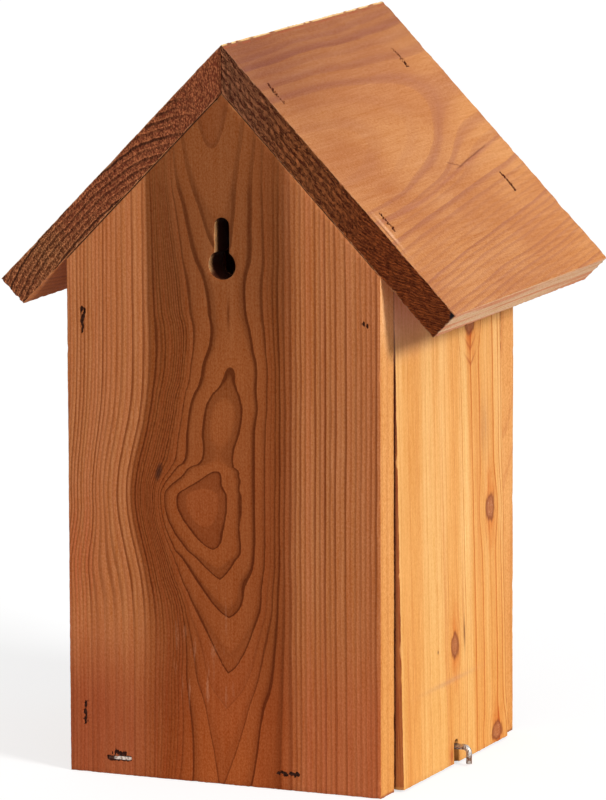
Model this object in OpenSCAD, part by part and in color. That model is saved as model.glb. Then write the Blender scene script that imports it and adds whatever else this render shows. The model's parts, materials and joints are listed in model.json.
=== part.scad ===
// Wall-hung nest box with a mitred double-pitch roof and a side door that pivots on two nails.
// The box stands on z = 0, with the middle of its four walls over the origin.
// The entrance faces -Y, the face that hangs on the wall is +Y, and the door is on the -X side.

/* [Box] */
// Outside width of the box, across the front and back boards
body_w = 150; // [130:1:200]
// Outside depth of the box, from the front board's face to the back board's face
body_d = 153; // [130:1:200]
// Height of the front and back boards at the eaves
eave_h = 230.5; // [215:0.5:300]
// Thickness of the wall boards and the floor
board_t = 15; // [12:0.5:20]
// Gap between the fixed side's top edge and the underside of the roof
side_top_gap = 1; // [0.5:0.5:5]

/* [Roof] */
// Thickness of the roof boards
roof_t = 15; // [12:0.5:20]
// Pitch of both roof slopes, in degrees
roof_pitch = 45.5; // [42:0.5:50]
// Overhang of the eave past the fixed side, level, to the board's lower edge
eave_out_fixed = 21.5; // [12:0.5:40]
// Overhang of the eave past the door, level, to the board's lower edge
eave_out_door = 24.5; // [12:0.5:40]
// Overhang of the roof past the front board
roof_overhang = 26; // [0:1:60]

/* [Entrance] */
// Diameter of the entrance hole
entrance_d = 32; // [25:1:45]
// Height of the entrance hole's centre above the base
entrance_h = 190; // [150:1:200]

/* [Hanger keyhole] */
// Diameter of the round hole that passes over the screw's head
keyhole_d = 12.7; // [10:0.1:16]
// Width of the slot that the screw's shank slides into
keyhole_slot_w = 7; // [5:0.1:8]
// Rise from the round hole's centre to the centre of the slot's round end
keyhole_rise = 17.3; // [12:0.1:24]
// Drop from the back board's apex to the round hole's centre
keyhole_drop = 75.3; // [60:0.1:100]

/* [Side door] */
// Gap between each upright edge of the door and the board beside it
door_side_gap = 1.2; // [0.6:0.1:3]
// Gap over the door, from its top edge up to the eave corner
door_top_gap = 8; // [7:0.5:14]
// Gap under the door, from its bottom edge down to the base
door_bottom_gap = 0.6; // [0.4:0.1:3]
// Gap between the closed door's inner face and the floor's edge
door_floor_gap = 0.5; // [0.2:0.1:3]
// Drop from the eave corner to the pivot nails' axis
pivot_drop = 21.5; // [18:0.5:40]
// How far the door stands ajar, in degrees
door_ajar = 1.15; // [0:0.05:3]

/* [Pivot nails] */
// Diameter of a pivot nail's shank
nail_d = 2.6; // [2:0.1:3.4]
// Length of a pivot nail, with its head
nail_len = 40; // [32:1:50]
// Diameter of a pivot nail's head
nail_head_d = 4.8; // [4:0.1:6]
// Thickness of a pivot nail's head
nail_head_t = 1; // [0.6:0.1:2]
// Depth of a nail head's outer face below the board's face
nail_sink = 0.6; // [0.2:0.1:2]
// Radial running clearance between a nail and its hole in the door
nail_clear = 0.08; // [0.05:0.01:0.1]

/* [Catch] */
// Diameter of the catch hook's wire
catch_wire = 2.6; // [2:0.1:3.4]
// Height of the catch hook's shank above the base
catch_h = 8.5; // [8:0.1:9]
// Depth to which the catch hook's shank is screwed into the floor
catch_grip = 20; // [12:1:30]
// Distance of the hook's arm outside the closed door's face, to the arm's centreline
catch_reach = 10; // [8:0.5:16]
// Length of the hook's arm, from the shank's centreline to its tip
catch_arm = 7.5; // [5:0.1:7.8]
// Radial running clearance between the shank and its hole in the floor
catch_clear = 0.08; // [0.05:0.01:0.1]
// Width of the slot in the door's bottom edge that the hook passes through
catch_slot_w = 5; // [4.6:0.1:7]
// Gap over the hook's shank, up to the top of the slot in the closed door
catch_slot_gap = 1.7; // [1.2:0.1:4]

/* [Staples] */
// Outside width of a staple's crown
staple_w = 11.2; // [8:0.1:13]
// Thickness of the staple's square wire
staple_wire = 1.5; // [1:0.1:1.8]
// Length of a staple's legs, from the top of the crown
staple_leg = 25; // [20:0.5:26]
// Depth of a staple's crown below the board's face
staple_sink = 0.8; // [0.2:0.1:1.5]
// Gap between a staple's crown and the walls of the dent that it was driven into
staple_ease = 0.2; // [0.1:0.05:0.4]
// Distance of the side staples from the top and bottom ends of the fixed side
side_staple_in = 27; // [16:1:50]
// Distance of the first floor staple from the fixed side's face
floor_staple_fixed = 24; // [22:1:35]
// Distance of the second floor staple from the door's face
floor_staple_door = 44; // [30:1:55]
// Distance of the upper roof staples from the ridge, down the slope
roof_staple_top = 30; // [26:1:45]
// Distance of the lower roof staples inside the wall's outer face, level, at the roof's underside
roof_staple_wall = 12; // [8:0.5:30]
// Distance of the door side's rear roof staples from the back board's face
roof_staple_rear = 11; // [7:0.5:11]
// Distance of the door side's front roof staples from the front board's face
roof_staple_front = 4; // [3:0.5:8]
// How far behind them the fixed side's roof staples sit, so that the legs pass each other
roof_staple_stagger = 3; // [2:0.5:3]

/* [Hidden] */
// Smoothness of small and of large round forms
fn_small = 32;
fn_large = 96;
// Overshoot that makes a cut run clear of the face it opens
cut = 1;
// Taper at a nail's and at the hook's point, and the diameter that is left at its end
point_len = 4;
point_end_d = 0.6;
// Gap left beyond a nail's or the hook's point in its blind hole
point_gap = 1;

half_w = body_w / 2;
half_d = body_d / 2;
cavity_w = body_w - 2 * board_t;
cavity_d = body_d - 2 * board_t;
apex_h = eave_h + half_w * tan(roof_pitch);
ridge_h = apex_h + roof_t / cos(roof_pitch);
roof_d = body_d + roof_overhang;
keyhole_h = apex_h - keyhole_drop;
pivot_h = eave_h - pivot_drop;
pivot_x = board_t / 2 - half_w;
nail_bore_depth = nail_sink + nail_len - board_t - door_side_gap + point_gap;
catch_bore_depth = catch_grip - door_floor_gap + point_gap;
catch_slot_top = catch_h + catch_wire / 2 + catch_slot_gap;

// Which side of the box a piece is on: FIXED is +X and BACK is +Y
FIXED = 1;
DOOR = -1;
BACK = 1;
FRONT = -1;

PAIR = [0, 1];
QUAD = [0, 1, 2, 3];

WEATHERED = "#9C5E3C";
HEARTWOOD = "#C98A5C";
SAPWOOD = "#F0AE6C";
STEEL = "#B4B6BA";

// ---- Places that several pieces share ----

// Turns children drawn with their outer face on z = 0 so that they lie in the face of an end board
module on_end_board(end) {
    translate([0, end * half_d, 0]) rotate([-90 * end, 0, 0]) children();
}

// Moves children into the face of an end board, at a height, with local X along or up the board
module in_end_board(end, x, h, upright) {
    translate([x, end * half_d, h])
        rotate([-90 * end, 0, 0])
            rotate([0, 0, upright ? 90 : 0])
                children();
}

// Moves children into a roof slope's outer face, with local X up the slope
module in_roof_slope(side, down_slope, y) {
    translate([side * down_slope * cos(roof_pitch), y, ridge_h - down_slope * sin(roof_pitch)])
        rotate([0, side * roof_pitch, 0])
            children();
}

// One of the two staples that hold an end board to the fixed side
module at_side_staple(end, i) {
    height = i == 0 ? side_staple_in : eave_h - side_staple_in;
    in_end_board(end, half_w - board_t / 2, height, true) children();
}

// One of the two staples that hold an end board to the floor
module at_floor_staple(end, i) {
    x = i == 0 ? half_w - floor_staple_fixed : floor_staple_door - half_w;
    in_end_board(end, x, board_t / 2, false) children();
}

// One of the four staples that hold a roof board: two over the back board, two over the front board
module at_roof_staple(side, i) {
    over_wall = (half_w - roof_staple_wall + roof_t * sin(roof_pitch)) / cos(roof_pitch);
    row_y = i < 2 ? half_d - roof_staple_rear : roof_staple_front - half_d;
    stagger = side == FIXED ? roof_staple_stagger : 0;
    in_roof_slope(side, i % 2 == 0 ? roof_staple_top : over_wall, row_y + stagger) children();
}

// Turns the door about its pivot from closed to ajar
module swing_door(angle) {
    translate([pivot_x, 0, pivot_h])
        rotate([0, angle, 0])
            translate([-pivot_x, 0, -pivot_h])
                children();
}

// ---- Fasteners ----

// Square-wire staple with the top of its crown on z = 0 and its legs down
module staple() {
    translate([-staple_w / 2, -staple_wire / 2, -staple_wire])
        cube([staple_w, staple_wire, staple_wire]);
    for (end = [-1, 1])
        translate([end * (staple_w - staple_wire) / 2 - staple_wire / 2, -staple_wire / 2, -staple_leg])
            cube([staple_wire, staple_wire, staple_leg]);
}

module driven_staple() {
    color(STEEL) translate([0, 0, -staple_sink]) staple();
}

// Dent that a driven crown leaves in the face of a board
module staple_dent() {
    dent_w = staple_w + 2 * staple_ease;
    dent_t = staple_wire + 2 * staple_ease;
    dent_depth = staple_sink + staple_wire;
    translate([-dent_w / 2, -dent_t / 2, -dent_depth])
        cube([dent_w, dent_t, dent_depth + cut]);
}

// Round-head nail along local -Z, with the top of its head on z = 0
module nail() {
    translate([0, 0, -nail_head_t]) cylinder(d = nail_head_d, h = nail_head_t, $fn = fn_small);
    translate([0, 0, point_len - nail_len])
        cylinder(d = nail_d, h = nail_len - point_len - nail_head_t, $fn = fn_small);
    translate([0, 0, -nail_len])
        cylinder(d1 = point_end_d, d2 = nail_d, h = point_len, $fn = fn_small);
}

module pivot_nail(end) {
    color(STEEL)
        translate([pivot_x, 0, pivot_h])
            on_end_board(end)
                translate([0, 0, -nail_sink])
                    nail();
}

// Holes in an end board for the pivot nail: a snug shank hole, and a dent for the head
module pivot_nail_hole(end) {
    translate([pivot_x, 0, pivot_h])
        on_end_board(end) {
            translate([0, 0, -board_t - cut]) cylinder(d = nail_d, h = board_t + cut, $fn = fn_small);
            translate([0, 0, -nail_sink - nail_head_t])
                cylinder(d = nail_head_d, h = nail_sink + nail_head_t + cut, $fn = fn_small);
        }
}

// ---- Walls and floor ----

// End board with a gabled top, before its holes are cut
module gable_board(end) {
    translate([0, end > 0 ? half_d : board_t - half_d, 0])
        rotate([90, 0, 0])
            linear_extrude(board_t)
                polygon([
                    [-half_w, 0],
                    [half_w, 0],
                    [half_w, eave_h],
                    [0, apex_h],
                    [-half_w, eave_h]
                ]);
}

// Dents for all the staples that are driven through an end board's face
module end_board_dents(end) {
    for (i = PAIR) {
        at_side_staple(end, i) staple_dent();
        at_floor_staple(end, i) staple_dent();
    }
}

// Keyhole right through the back board: a round hole with a round-ended slot above it
module keyhole_cut() {
    depth = board_t + 2 * cut;
    translate([0, half_d - board_t - cut, keyhole_h]) {
        rotate([-90, 0, 0]) cylinder(d = keyhole_d, h = depth, $fn = fn_large);
        translate([-keyhole_slot_w / 2, 0, 0]) cube([keyhole_slot_w, depth, keyhole_rise]);
        translate([0, 0, keyhole_rise])
            rotate([-90, 0, 0])
                cylinder(d = keyhole_slot_w, h = depth, $fn = fn_large);
    }
}

module back_board() {
    color(WEATHERED)
        difference() {
            gable_board(BACK);
            keyhole_cut();
            pivot_nail_hole(BACK);
            end_board_dents(BACK);
        }
}

module front_board() {
    color(HEARTWOOD)
        difference() {
            gable_board(FRONT);
            translate([0, -half_d - cut, entrance_h])
                rotate([-90, 0, 0])
                    cylinder(d = entrance_d, h = board_t + 2 * cut, $fn = fn_large);
            pivot_nail_hole(FRONT);
            end_board_dents(FRONT);
        }
}

module fixed_side() {
    color(SAPWOOD)
        translate([half_w - board_t, -cavity_d / 2, 0])
            cube([board_t, cavity_d, eave_h - side_top_gap]);
}

module floor_board() {
    floor_edge = -cavity_w / 2 + door_floor_gap;
    color(SAPWOOD)
        difference() {
            translate([floor_edge, -cavity_d / 2, 0])
                cube([cavity_w / 2 - floor_edge, cavity_d, board_t]);
            translate([floor_edge - cut, 0, catch_h])
                rotate([0, 90, 0])
                    cylinder(d = catch_wire + 2 * catch_clear, h = catch_bore_depth + cut, $fn = fn_small);
        }
}

// ---- Roof ----

// Roof board whose ridge edge is mitred on x = 0, with its eave cut square to the slope
module roof_board(side, eave_out) {
    eave_x = half_w + eave_out;
    eave_z = apex_h - eave_x * tan(roof_pitch);
    color(HEARTWOOD)
        difference() {
            translate([0, half_d, 0])
                rotate([90, 0, 0])
                    linear_extrude(roof_d)
                        polygon([
                            [0, apex_h],
                            [side * eave_x, eave_z],
                            [side * (eave_x + roof_t * sin(roof_pitch)), eave_z + roof_t * cos(roof_pitch)],
                            [0, ridge_h]
                        ]);
            for (i = QUAD)
                at_roof_staple(side, i) staple_dent();
        }
}

// ---- Side door and its catch ----

// Door drawn closed, flush with the edges of the end boards
module closed_door() {
    leaf_w = cavity_d - 2 * door_side_gap;
    leaf_h = eave_h - door_top_gap - door_bottom_gap;
    difference() {
        translate([-half_w, -leaf_w / 2, door_bottom_gap]) cube([board_t, leaf_w, leaf_h]);
        catch_slot();
        for (end = [BACK, FRONT])
            translate([pivot_x, end * leaf_w / 2, pivot_h])
                rotate([-90 * end, 0, 0])
                    translate([0, 0, -nail_bore_depth])
                        cylinder(d = nail_d + 2 * nail_clear, h = nail_bore_depth + cut, $fn = fn_small);
    }
}

// Round-topped slot, open at the door's bottom edge
module catch_slot() {
    round_h = catch_slot_top - catch_slot_w / 2;
    depth = board_t + 2 * cut;
    translate([-half_w - cut, 0, 0]) {
        translate([0, -catch_slot_w / 2, -cut]) cube([depth, catch_slot_w, round_h + cut]);
        translate([0, 0, round_h])
            rotate([0, 90, 0])
                cylinder(d = catch_slot_w, h = depth, $fn = fn_large);
    }
}

module side_door() {
    color(SAPWOOD) swing_door(door_ajar) closed_door();
}

// Square-bend screw hook, turned so that its arm points down and the door is free
module catch_hook() {
    bend_r = catch_wire;
    point_x = catch_grip - cavity_w / 2;
    bend_x = bend_r - half_w - catch_reach;
    shank_start = point_x - point_len;
    color(STEEL)
        translate([0, 0, catch_h]) {
            translate([shank_start, 0, 0])
                rotate([0, 90, 0])
                    cylinder(d1 = catch_wire, d2 = point_end_d, h = point_len, $fn = fn_small);
            translate([bend_x, 0, 0])
                rotate([0, 90, 0])
                    cylinder(d = catch_wire, h = shank_start - bend_x, $fn = fn_small);
            translate([bend_x, 0, -bend_r])
                rotate([90, 0, 0])
                    rotate([0, 0, 90])
                        rotate_extrude(angle = 90, $fn = fn_large)
                            translate([bend_r, 0])
                                circle(d = catch_wire, $fn = fn_small);
            translate([bend_x - bend_r, 0, -catch_arm])
                cylinder(d = catch_wire, h = catch_arm - bend_r, $fn = fn_small);
        }
}

back_board();
front_board();
fixed_side();
side_door();
floor_board();
roof_board(FIXED, eave_out_fixed);  // roof_board_fixed_side
roof_board(DOOR, eave_out_door);  // roof_board_door_side
pivot_nail(BACK);  // pivot_nail_back
pivot_nail(FRONT);  // pivot_nail_front
catch_hook();
for (i = PAIR) {
    at_side_staple(BACK, i) driven_staple();
    at_floor_staple(BACK, i) driven_staple();
    at_side_staple(FRONT, i) driven_staple();
    at_floor_staple(FRONT, i) driven_staple();
}
for (i = QUAD) {
    at_roof_staple(FIXED, i) driven_staple();
    at_roof_staple(DOOR, i) driven_staple();
}
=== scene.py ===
"""Looks of the nest box: sawn timber boards with their grain, knots and chipped arrises,
driven staples, pivot nails and a screw hook, on a plain pale floor in soft studio light.

Boards are modelled in millimetres in their own (across, along, depth) axes: across the grain,
along it, and down from the outer face. The same three numbers drive the timber materials.
"""

import json
import math

import bpy
import numpy as np
from mathutils import Matrix, Vector
from mathutils.geometry import delaunay_2d_cdt

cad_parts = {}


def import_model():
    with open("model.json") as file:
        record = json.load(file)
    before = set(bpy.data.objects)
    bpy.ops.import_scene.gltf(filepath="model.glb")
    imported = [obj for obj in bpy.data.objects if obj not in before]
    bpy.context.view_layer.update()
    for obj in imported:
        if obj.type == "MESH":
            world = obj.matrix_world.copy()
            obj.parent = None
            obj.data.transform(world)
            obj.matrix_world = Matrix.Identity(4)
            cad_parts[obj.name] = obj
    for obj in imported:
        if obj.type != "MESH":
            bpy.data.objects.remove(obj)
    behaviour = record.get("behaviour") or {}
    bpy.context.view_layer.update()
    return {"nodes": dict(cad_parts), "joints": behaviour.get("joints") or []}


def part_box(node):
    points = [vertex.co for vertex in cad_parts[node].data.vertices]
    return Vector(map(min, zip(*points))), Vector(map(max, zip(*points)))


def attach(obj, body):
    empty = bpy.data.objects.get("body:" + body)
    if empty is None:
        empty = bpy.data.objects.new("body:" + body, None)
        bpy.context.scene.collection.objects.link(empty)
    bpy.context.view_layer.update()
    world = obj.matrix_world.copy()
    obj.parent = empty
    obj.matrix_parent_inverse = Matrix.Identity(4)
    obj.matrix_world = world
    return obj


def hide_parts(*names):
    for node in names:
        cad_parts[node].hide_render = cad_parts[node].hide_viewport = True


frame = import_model()

MM = 0.001
NODES = frame["nodes"]


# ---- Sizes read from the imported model, in millimetres ----

def node_points(node):
    """Every vertex of a CAD node."""
    return np.array([vertex.co for vertex in NODES[node].data.vertices]) / MM


def node_box(node):
    low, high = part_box(node)
    return np.array(low) / MM, np.array(high) / MM


gable = node_points("back_board")
HALF_W = gable[:, 0].max()
HALF_D = gable[:, 1].max()
APEX_H = gable[:, 2].max()
EAVE_H = gable[np.abs(gable[:, 0]) > HALF_W - 0.01, 2].max()
PITCH = math.atan2(APEX_H - EAVE_H, HALF_W)
BOARD_T = HALF_D - gable[:, 1].min()

roof_low, roof_high = node_box("roof_board_door_side")
RIDGE_H = roof_high[2]
ROOF_T = (RIDGE_H - APEX_H) * math.cos(PITCH)
ROOF_D = roof_high[1] - roof_low[1]

DOOR_HINGE = next(joint for joint in frame["joints"] if joint["name"] == "door_swing")
PIVOT_H = DOOR_HINGE["pos_m"][2] / MM
# About how far the door's face stands out, for each millimetre below the pivot
AJAR_SLOPE = 0.0203


# ---- Smooth noise and outlines ----

def wobble(points, size, seed):
    """Smooth noise, mostly within -1 to 1, at the points; its bumps are about size apart."""
    waves = 9
    rng = np.random.default_rng(seed)
    total = np.zeros(len(points))
    for _ in range(waves):
        direction = rng.normal(size=points.shape[1])
        direction *= rng.uniform(0.6, 1.5) * 2 * math.pi / size / np.linalg.norm(direction)
        total += np.sin(points @ direction + rng.uniform(0, 2 * math.pi))
    return total / math.sqrt(waves)


def smooth(low, high, values):
    """Smooth step from 0 at low to 1 at high."""
    t = np.clip((values - low) / (high - low), 0, 1)
    return t * t * (3 - 2 * t)


def arc(centre, radius, start, end, step):
    """Points on an arc, in degrees, without its last one."""
    count = max(4, round(abs(math.radians(end - start)) * radius / step))
    turns = np.radians(start + (end - start) * np.arange(count) / count)
    return np.array(centre) + radius * np.stack([np.cos(turns), np.sin(turns)], axis=1)


def spaced(start, end, step):
    """Points about step apart from start on, without the end."""
    start, end = np.array(start, float), np.array(end, float)
    count = max(1, round(np.linalg.norm(end - start) / step))
    return [start + (end - start) * i / count for i in range(count)]


def sampled(corners, steps):
    """Points along a closed outline with its corners kept; steps holds one spacing a side."""
    sides = zip(corners, corners[1:] + corners[:1], steps)
    return np.concatenate([spaced(*side) for side in sides])


def rectangle(u0, v0, u1, v1):
    """Corners of a board's outline from its least and most across and along."""
    return [(u0, v0), (u1, v0), (u1, v1), (u0, v1)]


def mitres(loop):
    """At each point of a loop, the move into the wood that offsets both its sides by one."""
    ahead = np.roll(loop, -1, axis=0) - loop
    ahead /= np.linalg.norm(ahead, axis=1, keepdims=True)
    normal = np.stack([-ahead[:, 1], ahead[:, 0]], axis=1)
    before = np.roll(normal, 1, axis=0)
    share = 1 + (normal * before).sum(axis=1, keepdims=True)
    return (normal + before) / np.maximum(share, 0.4)


def inside(points, loops):
    """Which points lie in the outline and out of its holes."""
    crossings = np.zeros(len(points), int)
    for loop in loops:
        following = np.roll(loop, -1, axis=0)
        for (u0, v0), (u1, v1) in zip(loop, following):
            if v0 == v1:
                continue
            straddles = (v0 > points[:, 1]) != (v1 > points[:, 1])
            reach = u0 + (points[:, 1] - v0) * (u1 - u0) / (v1 - v0)
            crossings += straddles & (points[:, 0] < reach)
    return crossings % 2 == 1


# ---- Boards ----

ARRIS_TURNS = np.radians([0, 30, 60, 90])
FACE_WORN = 0.12  # how far a face is worn in, at most
END_GRAIN = 1.6  # spacing of the torn fibres on the sawn ends
# What each vertex tells the timber materials, besides its place in the wood: how far it is on an
# end or an edge, how much is worn off there, and how dark it is painted, for dirt and for shade in holes
# and pockets
MARKS = ("end", "rim", "wear", "grime_and_shade")


def add_object(name, data):
    made = bpy.data.objects.new(name, data)
    bpy.context.scene.collection.objects.link(made)
    return made


class Board:
    """A sawn board as a closed mesh, with eased and chipped arrises.

    Its first loop is the outline and the others are holes, and all run with the wood on their
    left. origin is where across and along are zero on the outer face.
    """

    def __init__(self, name, seed, thickness, origin, along, normal):
        self.name = name
        self.seed = seed
        self.thickness = thickness
        self.origin = np.array(origin, float)
        self.along = np.array(along, float)
        self.normal = np.array(normal, float)
        self.across = np.cross(self.along, self.normal)
        self.bend = lambda wood: wood
        self.settle = lambda points: points
        self.dents = []
        self.loops = []

    def to_wood(self, points):
        """Across, along and depth of points given in the object's frame."""
        local = np.asarray(points, float) - self.origin
        return np.stack([local @ self.across, local @ self.along, -local @ self.normal], axis=1)

    def to_frame(self, wood):
        """The object's frame for points given as across, along and depth."""
        return (self.origin + wood[:, :1] * self.across + wood[:, 1:2] * self.along
                - wood[:, 2:3] * self.normal)

    def limits(self, points):
        """Least across and along of points in the object's frame, and then the most."""
        wood = self.to_wood(points)[:, :2]
        return [*wood.min(axis=0), *wood.max(axis=0)]

    def add_loop(self, points, ease, chips=0.0, chip_size=(0.3, 1.0), rough=0.3):
        """An outline or a hole; chips is how many a metre each arris has lost."""
        self.loops.append((np.array(points), ease, chips, chip_size, rough))

    def add_dent(self, node, margin, ragged, depth=0.9):
        """A torn slit over the driven crown or head of a fastener's CAD node."""
        wood = self.to_wood(node_points(node))
        crown = wood[wood[:, 2] < wood[:, 2].min() + 0.05]
        low, high = crown[:, :2].min(axis=0), crown[:, :2].max(axis=0)
        self.dents.append(((low + high) / 2, (high - low) / 2 + margin,
                           crown[:, 2].min() + depth, ragged))

    def arris(self, loop, ease, chips, chip_size, rough, seed):
        """How far the arris is worn back at each point of a loop, less towards its corners."""
        rng = np.random.default_rng(seed)
        stations = np.concatenate([[0], np.cumsum(np.linalg.norm(np.diff(loop, axis=0), axis=1))])
        line = np.stack([stations, np.zeros(len(loop))], axis=1)
        worn = ease * (1 + rough * wobble(line, 9, seed) + rough * wobble(line, 2.6, seed + 1))
        for _ in range(rng.poisson(chips * stations[-1] * MM)):
            reach = rng.uniform(0.8, 1.0) * rng.choice([1.0, 1.8, 4.0])
            size = rng.uniform(*chip_size)
            gap = (stations - rng.uniform(0, stations[-1])) / reach
            lean = np.where(gap > 0, gap, gap * rng.uniform(-2.5, -1.0))
            worn += size * np.sqrt(np.clip(1 - lean, 0, 1))
        corners = loop[np.linalg.norm(mitres(loop), axis=1) > 1.1]
        if len(corners):
            gaps = np.linalg.norm(loop[:, None] - corners[None], axis=2).min(axis=1)
            gaps[gaps == 0] = gaps[gaps > 0].min()
            worn = np.minimum(worn, 0.7 * gaps)
        return np.clip(worn, 0.12, None)

    def cap(self, rings, spacing, depth_seed):
        """Flat triangulation between the rings: its points, and triangles into them."""
        rim = np.concatenate(rings)
        low, high = rim.min(axis=0), rim.max(axis=0)
        rows = np.arange(low[1], high[1], spacing * 0.87)
        grid = np.array([(u + spacing / 2 * (i % 2), v) for i, v in enumerate(rows)
                         for u in np.arange(low[0], high[0], spacing)])
        rng = np.random.default_rng(depth_seed)
        grid += rng.uniform(-0.18, 0.18, grid.shape) * spacing
        patches = []
        for centre, half, _, _ in self.dents:
            reach = half + 2.2
            grid = grid[(np.abs(grid - centre) > reach + 0.4).any(axis=1)]
            fine = [np.arange(-reach[k], reach[k] + 0.01, 0.42) for k in (0, 1)]
            patches.append(centre + np.stack(np.meshgrid(*fine), axis=-1).reshape(-1, 2))
        grid = np.concatenate([grid] + patches)
        grid = grid[inside(grid, rings)]
        clear = np.full(len(grid), 1e9)
        for start in range(0, len(rim), 64):
            gap = np.linalg.norm(grid[:, None] - rim[None, start:start + 64], axis=2)
            clear = np.minimum(clear, gap.min(axis=1))
        flat = np.concatenate([rim, grid[clear > 0.45]])
        edges, first = [], 0
        for ring in rings:
            edges += [(first + i, first + (i + 1) % len(ring)) for i in range(len(ring))]
            first += len(ring)
        result = delaunay_2d_cdt([Vector(p) for p in flat], edges, [], 0, 1e-6, False)
        if len(result[0]) != len(flat):
            raise ValueError(f"{self.name}: {len(flat) - len(result[0])} rim points merged")
        triangles = np.array(result[2])
        triangles = triangles[inside(flat[triangles].mean(axis=1), rings)]
        return flat, triangles

    def build(self, spacing=2.6, row_step=1.6):
        """Makes the closed mesh: two caps, and for each loop a wall with rounded arrises."""
        wall_rows = max(4, round(self.thickness / row_step))
        loops, worn = [], []
        for index, (loop, ease, chips, chip_size, rough) in enumerate(self.loops):
            loops.append((loop, mitres(loop)))
            worn.append([self.arris(loop, ease, chips, chip_size, rough, self.seed + 10 * index + k)
                         for k in (0, 5)])
        caps = []
        for side in (0, 1):
            rings = [loop + move * back[side][:, None] for (loop, move), back in zip(loops, worn)]
            caps.append(self.cap(rings, spacing, self.seed + 50 + side))
        wood, faces, ends, rims, wear, hole = [], [], [], [], [], []
        first = 0
        cap_first = []
        for side, (flat, triangles) in enumerate(caps):
            depth = np.full((len(flat), 1), side * self.thickness)
            wood.append(np.concatenate([flat, depth], axis=1))
            ordered = triangles if side == 0 else triangles[:, ::-1]
            faces += (ordered + first).tolist()
            cap_first.append(first)
            first += len(flat)
            for values in (ends, rims, hole):
                values.append(np.zeros(len(flat)))
            rim_wear = np.concatenate([back[side] for back in worn])
            wear.append(np.concatenate([rim_wear, np.zeros(len(flat) - len(rim_wear))]))
        rim_start = 0
        for (loop, move), (top, bottom) in zip(loops, worn):
            count = len(loop)
            ring_ids = [cap_first[0] + rim_start + np.arange(count)]
            end_share = smooth(0.4, 0.68, np.abs(move[:, 1]) / np.linalg.norm(move, axis=1))
            levels = []
            for turn in ARRIS_TURNS[1:]:
                levels.append((top * (1 - math.sin(turn)), top * (1 - math.cos(turn)), turn, top))
            for row in range(1, wall_rows):
                depth = top + (self.thickness - top - bottom) * row / wall_rows
                levels.append((np.zeros(count), depth, math.pi / 2, np.zeros(count)))
            for turn in ARRIS_TURNS[:0:-1]:
                levels.append((bottom * (1 - math.sin(turn)),
                               self.thickness - bottom * (1 - math.cos(turn)), turn, bottom))
            for inset, depth, turn, back in levels:
                place = loop + move * inset[:, None]
                wood.append(np.concatenate([place, depth[:, None]], axis=1))
                ends.append(end_share * (turn / (math.pi / 2)) ** 2)
                rims.append(np.full(count, (turn / (math.pi / 2)) ** 2))
                hole.append(np.full(count, float(rim_start > 0)))
                wear.append(back)
                ring_ids.append(first + np.arange(count))
                first += count
            ring_ids.append(cap_first[1] + rim_start + np.arange(count))
            for upper, lower in zip(ring_ids, ring_ids[1:]):
                following, below = np.roll(upper, -1), np.roll(lower, -1)
                faces += np.stack([upper, lower, below, following], axis=1).tolist()
            rim_start += count
        self.wood = np.concatenate(wood)
        self.faces = faces
        self.end = np.concatenate(ends)
        self.rim = np.concatenate(rims)
        self.wear = np.concatenate(wear)
        # Painted shade: the walls of drilled holes are painted dark, more so deeper in, where little
        # light reaches
        drilled = np.concatenate(hole) * self.rim
        self.grime_and_shade = drilled * (0.62 + 0.38 * smooth(1, 8, self.wood[:, 2]))

    def press_dents(self):
        """Sinks the pockets of the fasteners into the outer face and paints them dark."""
        for index, (centre, half, depth, ragged) in enumerate(self.dents):
            drift = [wobble(self.wood, 5, self.seed + start + index) for start in (75, 80)]
            gap = np.abs(self.wood[:, :2] - centre + 0.3 * np.stack(drift, axis=1)) - half
            distance = np.linalg.norm(np.maximum(gap, 0), axis=1) + np.minimum(gap.max(axis=1), 0)
            tear = wobble(self.wood * [1, 0.35, 1], 1.3, self.seed + 70 + index)
            distance = distance + ragged * tear
            sunk = 1 - smooth(-0.25, 0.3, distance)
            shallow = np.clip(1 - self.wood[:, 2] / 0.6, 0, 1)
            self.wood[:, 2] += depth * sunk * shallow
            # The pocket and a thin ring round it are painted dark
            halo = np.exp(-np.clip(distance, 0, None) ** 2 / 0.3) * shallow
            self.grime_and_shade = np.maximum(self.grime_and_shade, halo)

    def weather(self, end=0.35, touching=None):
        """Moves the surface inwards a little: soft waves on the faces, torn fibres on the ends.
        Where it is touching another board it stays in place."""
        inward = -self.vertex_normals()
        soft = 0.5 + 0.5 * wobble(self.wood * [1, 0.25, 1], 14, self.seed + 90)
        torn = np.abs(wobble(self.wood * [0.45, 1, 1], END_GRAIN, self.seed + 91))
        torn += 0.6 * np.abs(wobble(self.wood, 0.45 * END_GRAIN, self.seed + 92))
        amount = FACE_WORN * np.clip(soft, 0, 1) * (1 - self.end) + end * np.clip(torn, 0, 1.5) * self.end
        if touching is not None:
            amount[touching] = 0
        self.wood += inward * amount[:, None]

    def vertex_normals(self):
        """Outward normals in (across, along, depth), from the first corners of each face."""
        corners = [np.array([face[k] for face in self.faces]) for k in (0, 1, 2)]
        mirrored = self.wood * [1, 1, -1]
        a, b, c = (mirrored[ids] for ids in corners)
        spread = np.cross(b - a, c - a)
        total = np.zeros_like(mirrored)
        for ids in corners:
            np.add.at(total, ids, spread)
        total *= [1, 1, -1]
        return total / np.maximum(np.linalg.norm(total, axis=1, keepdims=True), 1e-9)

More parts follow.
